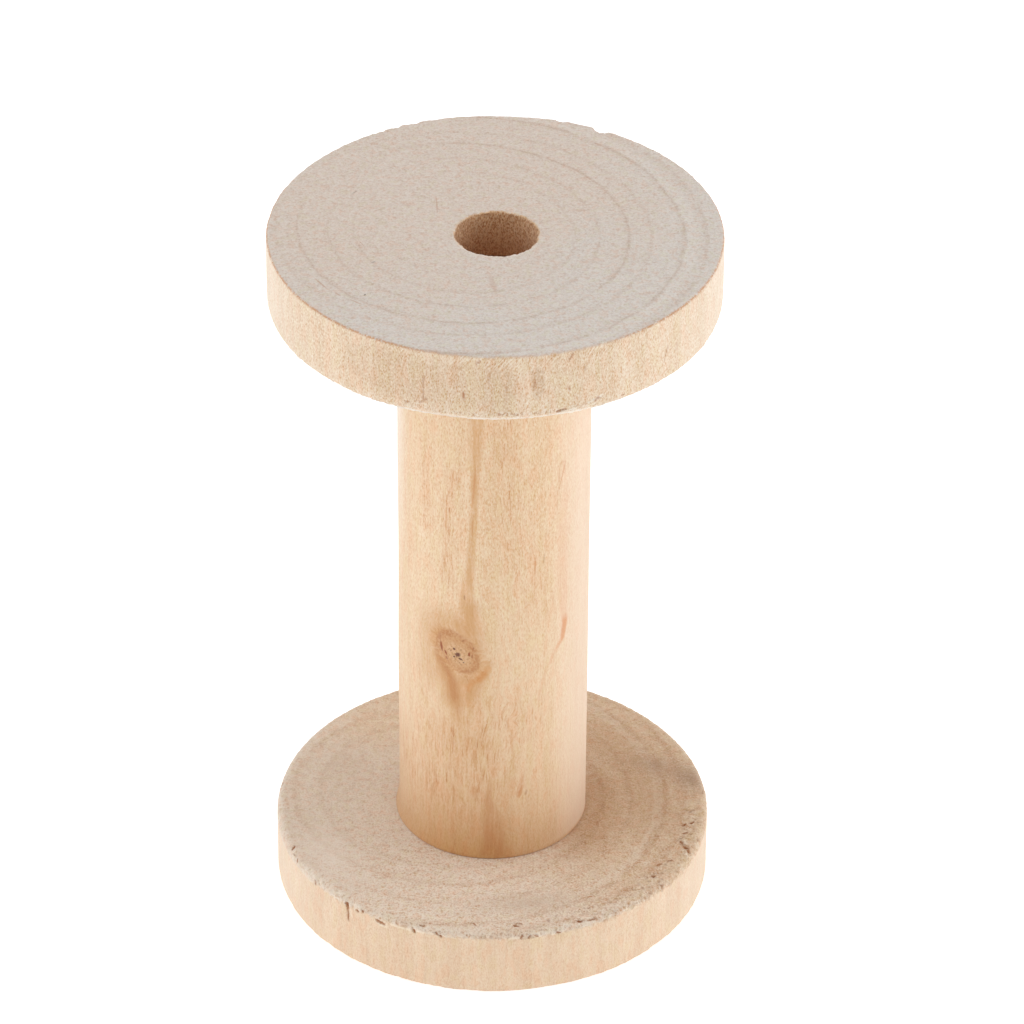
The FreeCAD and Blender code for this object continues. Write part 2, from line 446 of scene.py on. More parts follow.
upperLook = {
    "node": "upper_disc", "seed": 11,
    "crown": 0.02,                        # how far the rim swells at mid height
    "ragged": 0.1,                        # torn fibres along the inner edge
    "boreShift": (0.14, -0.38),           # the bore's mouth is a little off the middle
    "pith": (-3.3, 0.1),                  # the middle of the growth rings
    # how far the rings are from round, and the direction of their long side
    "sway": (0.5, 33),
    "clear": 55,                          # the side where the rings show
    "endsFrom": (0.42, 0.7),              # how level the skin is where side grain ends and end grain starts
    # torn bites: angle, place down the rim, half width, half height, depth
    "bites": (
        (152, 0.2, 0.9, 1.6, 0.38), (-148, 0, 0.8, 0.7, 0.12), (-153, 0, 0.6, 0.6, 0.1),
        (-158, 0, 0.9, 0.7, 0.13), (-164, 0, 0.7, 0.6, 0.1), (163, 0, 0.6, 0.5, 0.1),
        (17, 6.95, 0.6, 0.1, 0.2), (26, 6.6, 0.9, 0.25, -0.06), (23, 6.8, 0.5, 0.2, -0.05)),
    # marks: from (angle, place down the rim) to (angle, place), half width
    "brown": (
        (-7.3, 5.2, -7.3, 4.4, 0.15, 0.8), (-17.3, 3.2, -17.5, 5.8, 0.12, 0.6),
        (-16.4, 5.7, -18.4, 6.3, 0.13, 0.6), (-4.2, 0.9, -3.4, 0.6, 0.13, 0.7),
        (19.5, 0.4, 18.6, 1.1, 0.13, 0.8), (15.7, 7.06, 18, 6.92, 0.14, 0.8),
        (18.7, 4.3, 18.7, 4.6, 0.16, 0.7), (1.4, 6.75, 1.4, 7, 0.15, 0.6), (4.3, 6.85, 5.8, 6.95, 0.13, 0.6),
        (-21, 6.5, -22.2, 6.5, 0.12, 0.6), (33.3, 7, 33.7, 7, 0.16, 0.7), (48, 3.7, 46.8, 4.9, 0.12, 0.6),
        (51.9, 3.8, 50.9, 4.6, 0.12, 0.35), (26.5, 6.3, 25.5, 6.6, 0.14, 0.7),
        (22.9, 2.2, 22.4, 2.7, 0.13, 0.4), (3.1, 3.7, 3.2, 4.1, 0.14, 0.4), (-1, 2, -1.2, 3.4, 0.12, 0.3),
        (10.1, 3.3, 9.9, 3.7, 0.14, 0.6)),
    "grey": ((10.6, 2.2, 11, 4.4, 0.9, 0.8), (-32, 3.4, 0, 3.8, 3.6, 0.45), (0.5, 2.4, 1.5, 6, 1.4, 0.4)),
    # loose crumbs of torn fibre with small pits between
    "crumbly": (
        (1, 6.75, 7.5, 6.9, 0.32, 0.7), (-22, 6.5, -18, 6.3, 0.3, 0.5), (-13, 6.9, -4, 6.9, 0.25, 0.6),
        (8.5, 6.9, 15.5, 6.9, 0.25, 0.6), (24, 6.75, 27.5, 6.3, 0.35, 0.6)),
    # pale loose fibres along the edges
    "pale": ((16, 7.32, 20.5, 7, 0.14), (24, 6.6, 27.5, 6.2, 0.2), (-4, 0.7, -3, 0.2, 0.1)),
    "pits": 0,                            # coarse pores along the inner edge
    "sink": 0,                            # how far down the rim the end grain reaches on the left and right
    # band of crumbs: place down the rim, half height, middle and half its angle
    "burr": (6.95, 0.4, 2, 34),
    # the greyer side: direction, reach; how grey the middle is and the edge
    "cool": (35, 0.6, 0, 0.4),
    "dusk": 0,                            # how much the right side of the face is browner wood and lies in painted shade of the barrel
    "napFades": 0,                        # how much the nap fades towards the back left
}

upperWood = {
    "deep": (232, 208, 179), "pale": (241, 219, 194), "streaks": 0.3, "streakTint": (238, 224, 208),
    "vessels": 0.12, "vesselTint": (222, 194, 160), "fuzzScale": (8.5, 8.5, 3.6), "fuzzPale": 0.66,
    "fuzzAndHighlight": (252, 240, 224), "fuzzDark": 1, "fuzzTint": (232, 204, 168), "rosier": (255, 243, 234),
    "greener": (252, 252, 240), "dusk": (255, 255, 255), "faceGrey": (227, 218, 210),
    "faceWarm": (229, 213, 200), "faceFuzz": (246, 239, 230),
    # growth rings: distance from the pith, strength and width of the dark side
    "rings": (
        (8.6, 0.2, 0.7), (11.5, 0.5, 0.6), (14.1, 0.6, 0.6), (17.2, 0.9, 0.7), (19.4, 0.5, 0.6),
        (22.8, 1, 0.8), (25.2, 0.5, 1.7)),
    "ringWander": 0.6, "ringDepth": 0.62, "ringTint": (224, 202, 184), "ringSoft": 0.25, "ringTail": 0.35,
    "lightBand": (23, 24), "lightShare": 0.16, "clouds": 0.15, "rays": 0.12, "speckles": 0.4,
    "speckleTint": (230, 204, 182), "dotScale": 4.6, "dotDark": 0.45, "dotTint": (216, 200, 188),
    "dotPale": 0.45, "scratches": (1.2, 4.5, 1), "scratchPale": 0.2,
    # small flaws on the end grain: across, back, half length, half width, turn in degrees, strength, colour
    "flaws": (
        (-6.2, 5.4, 2.2, 0.1, 93, 0.45, "rust"), (-13.1, -12.2, 0.2, 0.12, 60, 0.9, "soot"),
        (-15.8, -12.2, 0.6, 0.14, -42, 0.5, "rust"), (-17.6, -10.2, 1.5, 0.14, -56, 0.5, "rust"),
        (-13.9, -13.6, 1, 0.12, -38, 0.45, "rust"), (-0.2, -10, 2.6, 0.45, -81, 0.22, "rust"),
        (8.7, 4.4, 0.75, 0.36, 5, 0.3, "rust"), (-13.6, -2.6, 0.9, 0.09, -62, 0.35, "rust"),
        (-12.4, -6, 0.35, 0.16, 40, 0.4, "soot"), (-12, 4.2, 0.9, 0.08, 35, 0.3, "rust"),
        (-14.6, 7.6, 0.5, 0.1, 50, 0.4, "soot"), (2.2, -8.6, 0.8, 0.07, 80, 0.3, "rust")),
    "rust": (190, 130, 86), "soot": (112, 96, 80), "hatch": 0.5, "burr": 0.9, "edgeLine": (206, 142, 88),
    # the pale colour laid on the rim's sides is a painted sheen
    "torn": (144, 78, 20), "brown": (170, 98, 32), "faded": (252, 243, 230), "paintedSheenShare": 0.32,
    "smudge": (228, 216, 204), "bore": (241, 200, 154), "boreDark": (204, 146, 98),
    "strand": (252, 222, 184), "gloss": 0.25, "fuzz": 0.25,
}

lowerLook = {
    "node": "lower_disc", "seed": 47, "crown": 0, "ragged": 0.18, "boreShift": (0, 0), "pith": (-4.8, 1.3),
    "sway": (0.5, 70), "clear": 5, "endsFrom": (0.16, 0.42),
    "bites": (
        (-41.1, 7.15, 0.22, 0.35, 0.22), (-40.8, 6.1, 0.14, 1, 0.22), (-37.5, 7.1, 0.2, 0.2, 0.15),
        (-35.9, 7.4, 0.2, 0.2, 0.15), (-30.8, 6.9, 0.3, 0.22, 0.15), (-20.5, 7.1, 0.22, 0.25, 0.2),
        (-18.6, 8.2, 0.45, 0.14, 0.2), (-14.4, 7.4, 0.25, 0.22, 0.2), (-13.2, 7.1, 0.25, 0.2, 0.2),
        (-54, 7.2, 0.2, 0.35, 0.2), (-68.5, 8.1, 0.2, 0.4, 0.2), (6.9, 9.3, 0.35, 0.22, 0.2),
        (8.4, 7.3, 0.5, 0.25, 0.2), (10.4, 7.3, 0.4, 0.2, 0.2), (14.5, 10.6, 0.2, 0.2, 0.15),
        (24.3, 8.3, 0.4, 0.3, 0.2), (27.5, 7.95, 0.75, 0.16, 0.18), (48.7, 11.3, 0.3, 0.18, 0.2),
        (51.4, 10.5, 0.2, 0.15, 0.2), (52.9, 9.5, 0.28, 0.2, 0.25), (71, 9.6, 0.3, 0.3, 0.18),
        (69, 8.8, 0.35, 0.4, 0.22), (67.6, 8.2, 0.3, 0.25, 0.2), (79, 10.1, 0.3, 0.3, 0.2),
        (80.5, 9.3, 0.3, 0.25, 0.2)),
    "brown": (
        (-41.3, 7.35, -40.9, 6.9, 0.26), (-40.9, 6.9, -40.6, 5.1, 0.15), (-37.6, 7.15, -37.4, 7, 0.16),
        (-36, 7.45, -35.8, 7.3, 0.15), (-31.2, 6.95, -29.8, 6.9, 0.26), (-29.4, 6.9, -29, 6.8, 0.14),
        (-20.6, 7.25, -20.4, 6.95, 0.18), (-19.2, 8.1, -17.9, 8.25, 0.12), (-14.5, 7.5, -14.3, 7.3, 0.16),
        (-13.4, 7.15, -13, 7, 0.16), (-5, 9.7, -4.4, 9.4, 0.14), (-54.1, 7.35, -53.9, 6.95, 0.16),
        (-68.6, 8.3, -68.2, 7.8, 0.2), (-64, 7.6, -63.6, 7.3, 0.14), (6.6, 9.4, 7.4, 9.2, 0.2),
        (8, 9.6, 8.6, 9.5, 0.15), (7.8, 7.2, 8.3, 7.6, 0.16), (9.8, 7.2, 10.4, 7.5, 0.14),
        (11.5, 7.4, 12.2, 7.3, 0.12), (17.5, 7.4, 18.2, 7.3, 0.14), (24, 8.4, 24.6, 8.2, 0.22),
        (26.6, 8, 28.6, 7.9, 0.15), (32.4, 11.3, 34.3, 11.1, 0.12), (48.5, 11.35, 49.3, 11.2, 0.15),
        (51.2, 10.6, 51.8, 10.4, 0.13), (52.7, 9.6, 53.3, 9.4, 0.17), (57.8, 10.2, 58.9, 9.9, 0.13),
        (61, 9.6, 61.8, 9.3, 0.14), (71.2, 9.7, 70.6, 9.4, 0.2), (69.2, 8.9, 68.6, 8.5, 0.26),
        (67.9, 8.35, 67.4, 8, 0.2), (78.7, 10.2, 79.4, 9.9, 0.2), (80.4, 9.4, 80.8, 9.1, 0.18),
        (75, 9.8, 75.6, 9.4, 0.16)),
    "grey": ((-34.3, 3.4, -34.2, 0.3, 0.2, 0.3), (-17.1, 2.5, -17.5, 0.5, 0.2, 0.3)),
    "crumbly": (
        (-31.3, 6.95, -28.6, 6.8, 0.42, 0.7), (-38.2, 7.1, -36, 7.3, 0.25, 0.7),
        (-21.5, 7.5, -18.4, 7.8, 0.25, 0.8), (-20.8, 7, -20, 7, 0.25, 0.8),
        (-15.6, 7.4, -12.6, 7.1, 0.32, 0.6), (-68.8, 8.1, -66, 7.6, 0.35, 0.7),
        (-12, 7.2, -8, 7.1, 0.25, 0.5), (6.2, 9.5, 8.8, 9.4, 0.4, 0.8), (5, 7.4, 13.5, 7.6, 0.4, 0.7),
        (16.5, 7.7, 19, 7.5, 0.35, 0.9), (23.6, 8.3, 28.8, 8, 0.35, 0.7), (24, 9.6, 31, 9.9, 0.7, 0.6),
        (30, 11, 36, 11, 0.35, 0.7), (46, 11, 54, 9.6, 0.7, 0.5), (56, 9.8, 62, 9.4, 0.4, 0.5),
        (66, 8.2, 72, 9.6, 0.6, 0.5), (74, 9.6, 84, 9.6, 0.8, 0.4), (36, 9.4, 46, 9, 0.6, 0.5),
        (14, 10.4, 24, 10.2, 0.6, 0.5), (-6, 9.7, -3, 9.3, 0.3, 0.7)),
    "pale": (
        (71.5, 9.3, 70.5, 9, 0.3), (25.2, 8.6, 28, 8.2, 0.22), (24.8, 7.9, 28.4, 7.7, 0.14),
        (-31.6, 7.25, -28.8, 7.15, 0.16), (-31.2, 6.6, -28.6, 6.5, 0.14), (-27, 7.1, -21.5, 7.1, 0.16),
        (-19.5, 7.2, -15.2, 7.2, 0.2), (-12.8, 7.3, -10, 7.2, 0.18), (-39.8, 6.9, -39.4, 5.9, 0.12),
        (5, 7.25, 13, 7.3, 0.16), (66.2, 8.4, 65.6, 8.1, 0.2)),
    # at full strength here: the right of the face is browner, partly wood and partly painted shade of the
    # barrel
    "pits": 1, "sink": 0.5, "burr": (7.2, 0.4, -18, 48), "cool": (-50, 1, 0.2, 0), "dusk": 1,
    "napFades": 0.45,
}

lowerWood = dict(upperWood)
lowerWood.update({
    "deep": (233, 205, 176), "pale": (239, 214, 186), "faceGrey": (236, 219, 202),
    "faceWarm": (228, 199, 167), "faceFuzz": (246, 234, 217),
    "rings": ((13.6, 0.35, 0.9), (16.5, 0.6, 1.2), (19.6, 0.4, 0.9), (23.3, 0.9, 1), (25.4, 0.8, 1.2)),
    "ringSoft": 0.5, "ringTail": 0.6, "ringDepth": 0.7, "ringTint": (224, 198, 172), "lightBand": (22, 22.9),
    "lightShare": 0.3, "dotScale": 5, "dotDark": 0.7, "dotTint": (208, 182, 156), "dotPale": 0.8,
    "clouds": 0.3, "speckles": 0.75, "speckleTint": (230, 196, 156), "scratches": (3.4, 4.4, 1),
    "scratchPale": 0.3, "fuzzPale": 0.35, "fuzzAndHighlight": (249, 233, 212), "fuzzDark": 0.45,
    # the tint for the right of the face, partly browner wood and partly painted shade; then the share of
    # painted sheen on the rim
    "dusk": (234, 220, 205), "paintedSheenShare": 0.2,
    "flaws": (
        # the two plum patches at the back right: browner wood, partly painted shadow of the barrel
        (18, 6.5, 6, 3.4, -25, 0.5, "plum"), (21.8, 4.2, 4.2, 3.2, -60, 0.8, "plum"),
        (-17.6, -9.6, 10, 5, -60, 0.6, "milk"), (-16.5, 7, 9.5, 7, 70, 0.4, "dim"),
        (4.4, -18, 10.5, 3.4, 8, 0.6, "dim"), (9, -17.6, 1.6, 0.12, 32, 0.3, "rust"),
        (14.6, -13.6, 1.2, 0.1, 45, 0.3, "rust"), (-15, -11, 1.4, 0.1, -48, 0.25, "rust"),
        (10.6, -16.8, 0.5, 0.14, 20, 0.8, "rust"), (-1.6, -18.6, 0.22, 0.14, 0, 0.8, "rust"),
        (-8.4, -15.4, 0.16, 0.12, 0, 0.7, "rust")),
    "plum": (168, 132, 106), "milk": (247, 233, 219), "dim": (198, 172, 148), "hatch": 0, "burr": 0.45,
    "torn": (142, 76, 18), "brown": (160, 92, 26),
})


def discRows(radius, thick):
    # the disc's outline, from the bore's mouth over the outer face, the rim and the inner face to the bore
    s = discSizes
    inner, outer, bore, socket = s["innerRound"], s["outerRound"], s["bore"], s["socket"]
    few, many = 240, 1200
    shelf = radius - 2.7                  # inside this radius the rings have fewer points
    lip = bore + s["lip"]
    floor = thick - s["socketDepth"]
    rows = path((lip, 0, 0.11, few, "outer"), (lip + 0.8, 0, 0.5, few, "outer"),
                (shelf, 0, 0.34, many, "outer"), (radius - 1, 0, 0.13, many, "outer"), (radius - outer, 0))
    rows += bend((radius - outer, outer), outer, 90, 0, 0.1, many, "outerEdge")
    rows += path((radius, outer, 0.2, many, "side"), (radius, 1.6, 0.42, many, "side"),
                 (radius, 5.8, 0.13, many, "side"), (radius, thick - inner))
    rows += bend((radius - inner, thick - inner), inner, 0, -90, 0.13, many, "innerEdge")
    rows += path((radius - inner, thick, 0.16, many, "inner"), (shelf, thick, 0.42, few, "inner"),
                 (socket, thick, 0.7, few, "socket"), (socket, floor, 1.4, few, "socket"),
                 (bore, floor, 0.35, few, "bore"), (bore, 0.7, 0.12, few, "bore"),
                 (bore, s["lip"], 0.1, few, "bore"), (lip, 0))
    return rows


def turnDisc(name, look, material, up):
    low, high = (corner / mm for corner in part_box(look["node"]))
    radius = (high.x - low.x) / 2
    thick = high.z - low.z
    disc = Turning(discRows(radius, thick), high.z if up > 0 else low.z, up)
    place = disc.points()
    angle, depth = disc.angle, disc.depth
    inside = radius - disc.radius
    along = np.where(depth < thick / 2, depth - inside, depth + inside)   # 0 at the outer edge, down the rim
    skin = 1 - disc.on("bore", "socket")
    rim = ease(inside, 2.6, 0.2) * skin
    shelf = ease(inside, 2.75, 2.35) * skin
    wide = disc.on("side", "outerEdge", "innerEdge")

    def lumps(size, draw):
        return bumps(place, size, look["seed"] + draw)

    # the turned side: a slight swell, and unevenness that a hand would feel
    disc.push(look["crown"] * disc.on("side") * (1 - ((depth - thick / 2) / (thick / 2)) ** 2))
    disc.push(0.05 * rim * lumps((7, 7, 9), 0))
    disc.push(0.012 * wide * lumps((0.7, 0.7, 3), 1))
    disc.push(0.012 * rim * lumps(0.4, 2))

    # both edges: worn, and torn along the inner one
    innerEdge = ease(np.abs(along - thick + 0.1), 0.9, 0.15) * rim
    outerEdge = ease(np.abs(along), 0.5, 0.05) * rim
    shreds = lumps((0.32, 0.32, 0.45), 3) + 0.6 * lumps((0.17, 0.17, 0.25), 4)
    clumps = ease(lumps(2.2, 5), -0.5, 0.6)
    facing = 0.3 + 0.7 * ease(apart(angle, 5), 78, 52)
    disc.push(look["ragged"] * innerEdge * shreds * (0.35 + 0.65 * clumps) * facing)
    disc.push(0.035 * outerEdge * lumps(0.5, 6))
    disc.push(-0.05 * outerEdge * ease(lumps(1.1, 7), 0.2, 0.8))

    # bites and torn spots at their own places; the deepest bite is clean
    pit = np.zeros(len(along))
    for middle, at, wideBy, tallBy, deep in look["bites"]:
        x = aside(angle, middle) * math.radians(radius) + 0.12 * shreds * wideBy
        y = along - at + 0.12 * shreds * tallBy
        hole = np.clip(1 - (x / wideBy) ** 2 - (y / tallBy) ** 2, 0, 1) ** 0.7 * shelf
        disc.push(-deep * hole * (1 + 0.35 * shreds))
        pit = np.maximum(pit, hole * ease(deep, 0.16, 0.3) * ease(deep, 0.37, 0.33))

    # coarse pores and small torn spots scattered over the inner face's edge, most of them at the front right
    rough = ease(inside, 3.4, 1.4) * ease(apart(angle, 48), 62, 30) * look["pits"]
    rough = rough * disc.on("inner", "innerEdge")
    disc.push(0.07 * rough * (lumps(0.6, 20) + lumps(0.28, 21)))
    spots = ease(lumps(0.36, 8) + 0.16 * rough, 0.62, 0.9) * ease(lumps(3, 9) + 0.6 * rough, 0, 0.6)
    spots = spots * shelf * disc.on("inner", "innerEdge") * look["pits"]
    disc.push(-0.14 * spots)
    pit = np.maximum(pit, 0.7 * spots)

    # the bore: a drill's rough wall and a frayed mouth, a little off the middle where it shows
    bore, outerFace = disc.on("bore"), disc.on("outer")
    mouthReach = ease(disc.radius, discSizes["bore"] + 1, discSizes["bore"])
    nearMouth = np.where(bore > 0, ease(depth, 1.2, 0), mouthReach)
    fray = lumps((0.26, 0.26, 0.5), 10) + 0.8 * lumps(0.6, 11)
    ragged = 0.11 * fray * nearMouth + 0.05 * bore * lumps((0.3, 0.3, 0.9), 12)
    disc.radius = disc.radius + ragged * (bore + outerFace * nearMouth)
    disc.push(0.05 * lumps(0.3, 18) * nearMouth * outerFace)
    floor = thick - discSizes["socketDepth"]
    drift = np.where(bore > 0, 1 - depth / floor, outerFace * ease(disc.radius, 12, 5))
    disc.shift = np.outer(drift, look["boreShift"])
    if up < 0:
        disc.height = np.maximum(disc.height, low.z)   # it stands on its high spots

    # what the material reads at each point: where it is in the log, and what lies on it
    log = place - np.array([look["pith"][0], look["pith"][1], 0])
    log = log + 0.06 * np.stack([lumps((3, 3, 5), k) for k in (13, 14, 15)], axis=1)
    sway, swayTo = look["sway"]
    slow = np.degrees(np.arctan2(log[:, 1], log[:, 0])) - swayTo
    cut = np.radians(angle) * radius
    lean, slant = 1.3, 1.64               # chatter marks lean over the rim; slant is the length of (1, lean)
    coolWay, coolReach, coolMiddle, coolEdge = look["cool"]
    out = disc.radius / radius
    sink = look["sink"] * ease(along, 6.35, 7) * ease(np.abs(angle), 32, 70)
    crumbsAt, crumbsHigh, crumbsMiddle, crumbsSpan = look["burr"]
    crumbs = ease(apart(angle, crumbsMiddle), crumbsSpan, crumbsSpan - 15) * shelf
    clumped = 0.35 + 0.65 * clumps
    # the right of the face, near the barrel and out to the back right: partly browner wood, partly painted
    # shade of the barrel
    brownedAndShaded = ease(np.abs(aside(angle, 80) + 9 * lumps(6, 17)), 62, 22) * ease(disc.radius, 16.5, 12.5)
    outer = ease(apart(angle, 112), 58, 22) * ease(disc.radius, 12, 15.5) * ease(disc.radius, 23, 17)
    marks = {
        "grain": log,
        "ringPlace": np.hypot(log[:, 0], log[:, 1]) + sway * np.cos(np.radians(2 * slow)),
        "chisel": np.stack([(cut - lean * along) / slant, (lean * cut + along) / slant, 0 * cut], axis=1),
        "hatch": disc.on("side", "outerEdge") * ease(along, 2.8, 1) * ease(np.abs(angle - 5), 42, 22)
        * ease(lumps((1.6, 1.6, 3), 19), -0.35, 0.35),
        "ringClear": ease(apart(angle, look["clear"]), 180, 122),
        "ends": ease(np.abs(disc.upward) + sink + 0.22 * shreds, *look["endsFrom"]) * (1 - bore),
        "mouth": ease(np.abs(disc.radius - discSizes["bore"]), 0.3, 0.12) * ease(depth, 0.35, 0.15)
        * (1 - rim),
        # a painted highlight: a thin pale line on the front of the bore's lip
        "lip": ease(np.abs(disc.radius - discSizes["bore"] - 0.16), 0.16, 0.05) * disc.on("outer", "bore")
        * ease(depth, 0.2, 0.05) * ease(np.abs(angle), 88, 40),
        "inBore": bore * ease(depth, -0.05, 0.15),
        # how far down the bore the wall is, for a painted shade that deepens downwards
        "deepBore": bore * ease(depth, 1, 5),
        "edgeLine": ease(np.abs(along - 0.05), 0.24, 0.03) * rim
        * (0.3 + 0.7 * ease(np.abs(angle - 8), 16, 34)),
        # painted sheen: the rim paler towards its left and right sides, where light wraps round
        "faded": wide * rim * ease(np.abs(angle), 38, 88),
        "nap": 1 - look["napFades"] * ease(apart(angle, 5), 35, 95),
        "torn": pit,
        "burr": ease(along + 0.25 * shreds, thick - 0.55, thick - 0.3) * clumped * crumbs
        * disc.on("innerEdge", "side"),
        "burrPits": 0.6 * ease(np.abs(along - crumbsAt), crumbsHigh, 0.4 * crumbsHigh)
        * (0.3 + 0.7 * clumps) * crumbs,
        "cool": coolReach * out * np.cos(np.radians(angle - coolWay)) + coolMiddle + coolEdge * out * out,
        "dusk": look["dusk"] * np.maximum(brownedAndShaded, 0.75 * outer),
    }
    for kind in ("brown", "grey", "pale", "crumbly"):
        marks[kind] = strokes(angle, along, radius, look[kind], 0.5) * shelf
    dress(meshPiece(name, disc, marks, material), look["node"])


def discWood(name, look, pith):
    wood = Mixture(name, look)
    grain = wood.vector("grain")
    sideRelief = sideGrain(wood, grain)
    side = wood.colour
    faceRelief = endGrain(wood, grain)
    flecks = wood.noise(grain, 5)
    # painted shade of the barrel on the right of the face, with browner wood there
    wood.stain(wood.number("dusk"), "dusk")
    flat = wood.move("MULTIPLY", grain, (1, 1, 0))
    for across, back, long, wide, turn, strength, tone in look["flaws"]:
        spot = across - pith[0], back - pith[1], long, wide, turn
        full = -0.3 if tone in ("plum", "milk", "dim") else 0.4      # these three are soft patches
        wood.cover(wood.speck(flat, spot, flecks, full) * strength, tone)
    face = wood.colour

    # the rim: chatter marks from the chisel, leaning over its outer edge
    wood.colour = side
    chatter = wood.noise(wood.vector("chisel"), (0.7, 5, 1))
    hatch = wood.number("hatch") * look["hatch"]
    wood.cover(hatch * chatter.ease(0.5, 0.62), "fuzzAndHighlight")
    wood.stain(hatch * chatter.ease(0.5, 0.38), "fuzzTint")
    # a painted sheen, paler towards the rim's sides
    wood.cover(wood.number("faded") * look["paintedSheenShare"], "faded")
    ends = wood.number("ends")
    wood.colour = wood.blend(ends, wood.colour, face)
    wood.cover(wood.number("edgeLine") * flecks.ease(0.35, 0.55) * 0.9, "edgeLine")

    # the torn edge: a pale ragged lip with small brown pits beside it, then stains at their own places
    crumbs = wood.noise(grain, 4.2, 2, 0.6)
    band = wood.number("crumbly").most(wood.number("burrPits") * look["burr"])
    pits = band * crumbs.ease(0.56, 0.64)
    wood.cover(band * crumbs.ease(0.52, 0.42) * 0.7, "fuzzAndHighlight")
    wood.cover(pits * 0.75, "brown")
    wood.cover(wood.number("burr") * flecks.ease(0.3, 0.5) * look["burr"], "fuzzAndHighlight")
    wood.cover(wood.number("pale") * flecks.ease(0.25, 0.5) * 0.7, "fuzzAndHighlight")
    wood.stain(wood.number("grey") * flecks.ease(0.2, 0.65), "smudge")
    wood.cover(wood.number("brown") * flecks.ease(0.25, 0.42) * 0.92, "brown")
    wood.cover(wood.number("torn") * flecks.ease(0.3, 0.5) * 0.85, "torn")
    skin = wood.colour

    # the drilled wall: rough, orange-brown, with pale loose fibres near the mouth
    nap = wood.noise(grain, (6, 6, 4), 3, 0.7)
    strands = wood.noise(grain, (8, 8, 3.2), 2, 0.6)
    deep = wood.number("deepBore")
    inBore = wood.number("inBore")
    mouth = wood.number("mouth")
    wood.colour = wood.blend(nap.ease(0.38, 0.6), look["boreDark"], look["bore"])
    wood.cover(strands.ease(0.52, 0.64) * (0.8 - 0.8 * deep), "strand")
    wood.stain(strands.ease(0.48, 0.38) * 0.5, "boreDark")
    wood.colour = wood.blend(inBore, skin, wood.colour)
    # painted shade: the wall darker deeper down the bore
    wood.stain(deep * 0.25, "boreDark")
    wood.cover(mouth * flecks.ease(0.45, 0.6) * 0.6, "bore")
    # pale flecks round the mouth: partly loose fibres, partly a painted highlight
    wood.cover(mouth * flecks.ease(0.45, 0.3) * 0.5, "fuzzAndHighlight")
    # painted highlight on the front of the lip
    wood.cover(wood.number("lip") * flecks.ease(0.3, 0.55) * 0.75, "fuzzAndHighlight")
    relief = ends * faceRelief + (1 - ends) * sideRelief + inBore * (nap + strands) - 0.4 * pits
    return wood.finish(0.72 + 0.16 * nap, relief, 0.11)


# barrel

barrelSizes = {
    "bore": 4.3, "radius": 10.15,
    "flare": 0.2,                         # how far each foot spreads
    "flareLean": 0.2,                     # how much more it spreads on the left, and less on the right
    "flareHeight": 3, "footRound": 0.18, "spigot": 8.05, "spigotLength": 2,
}

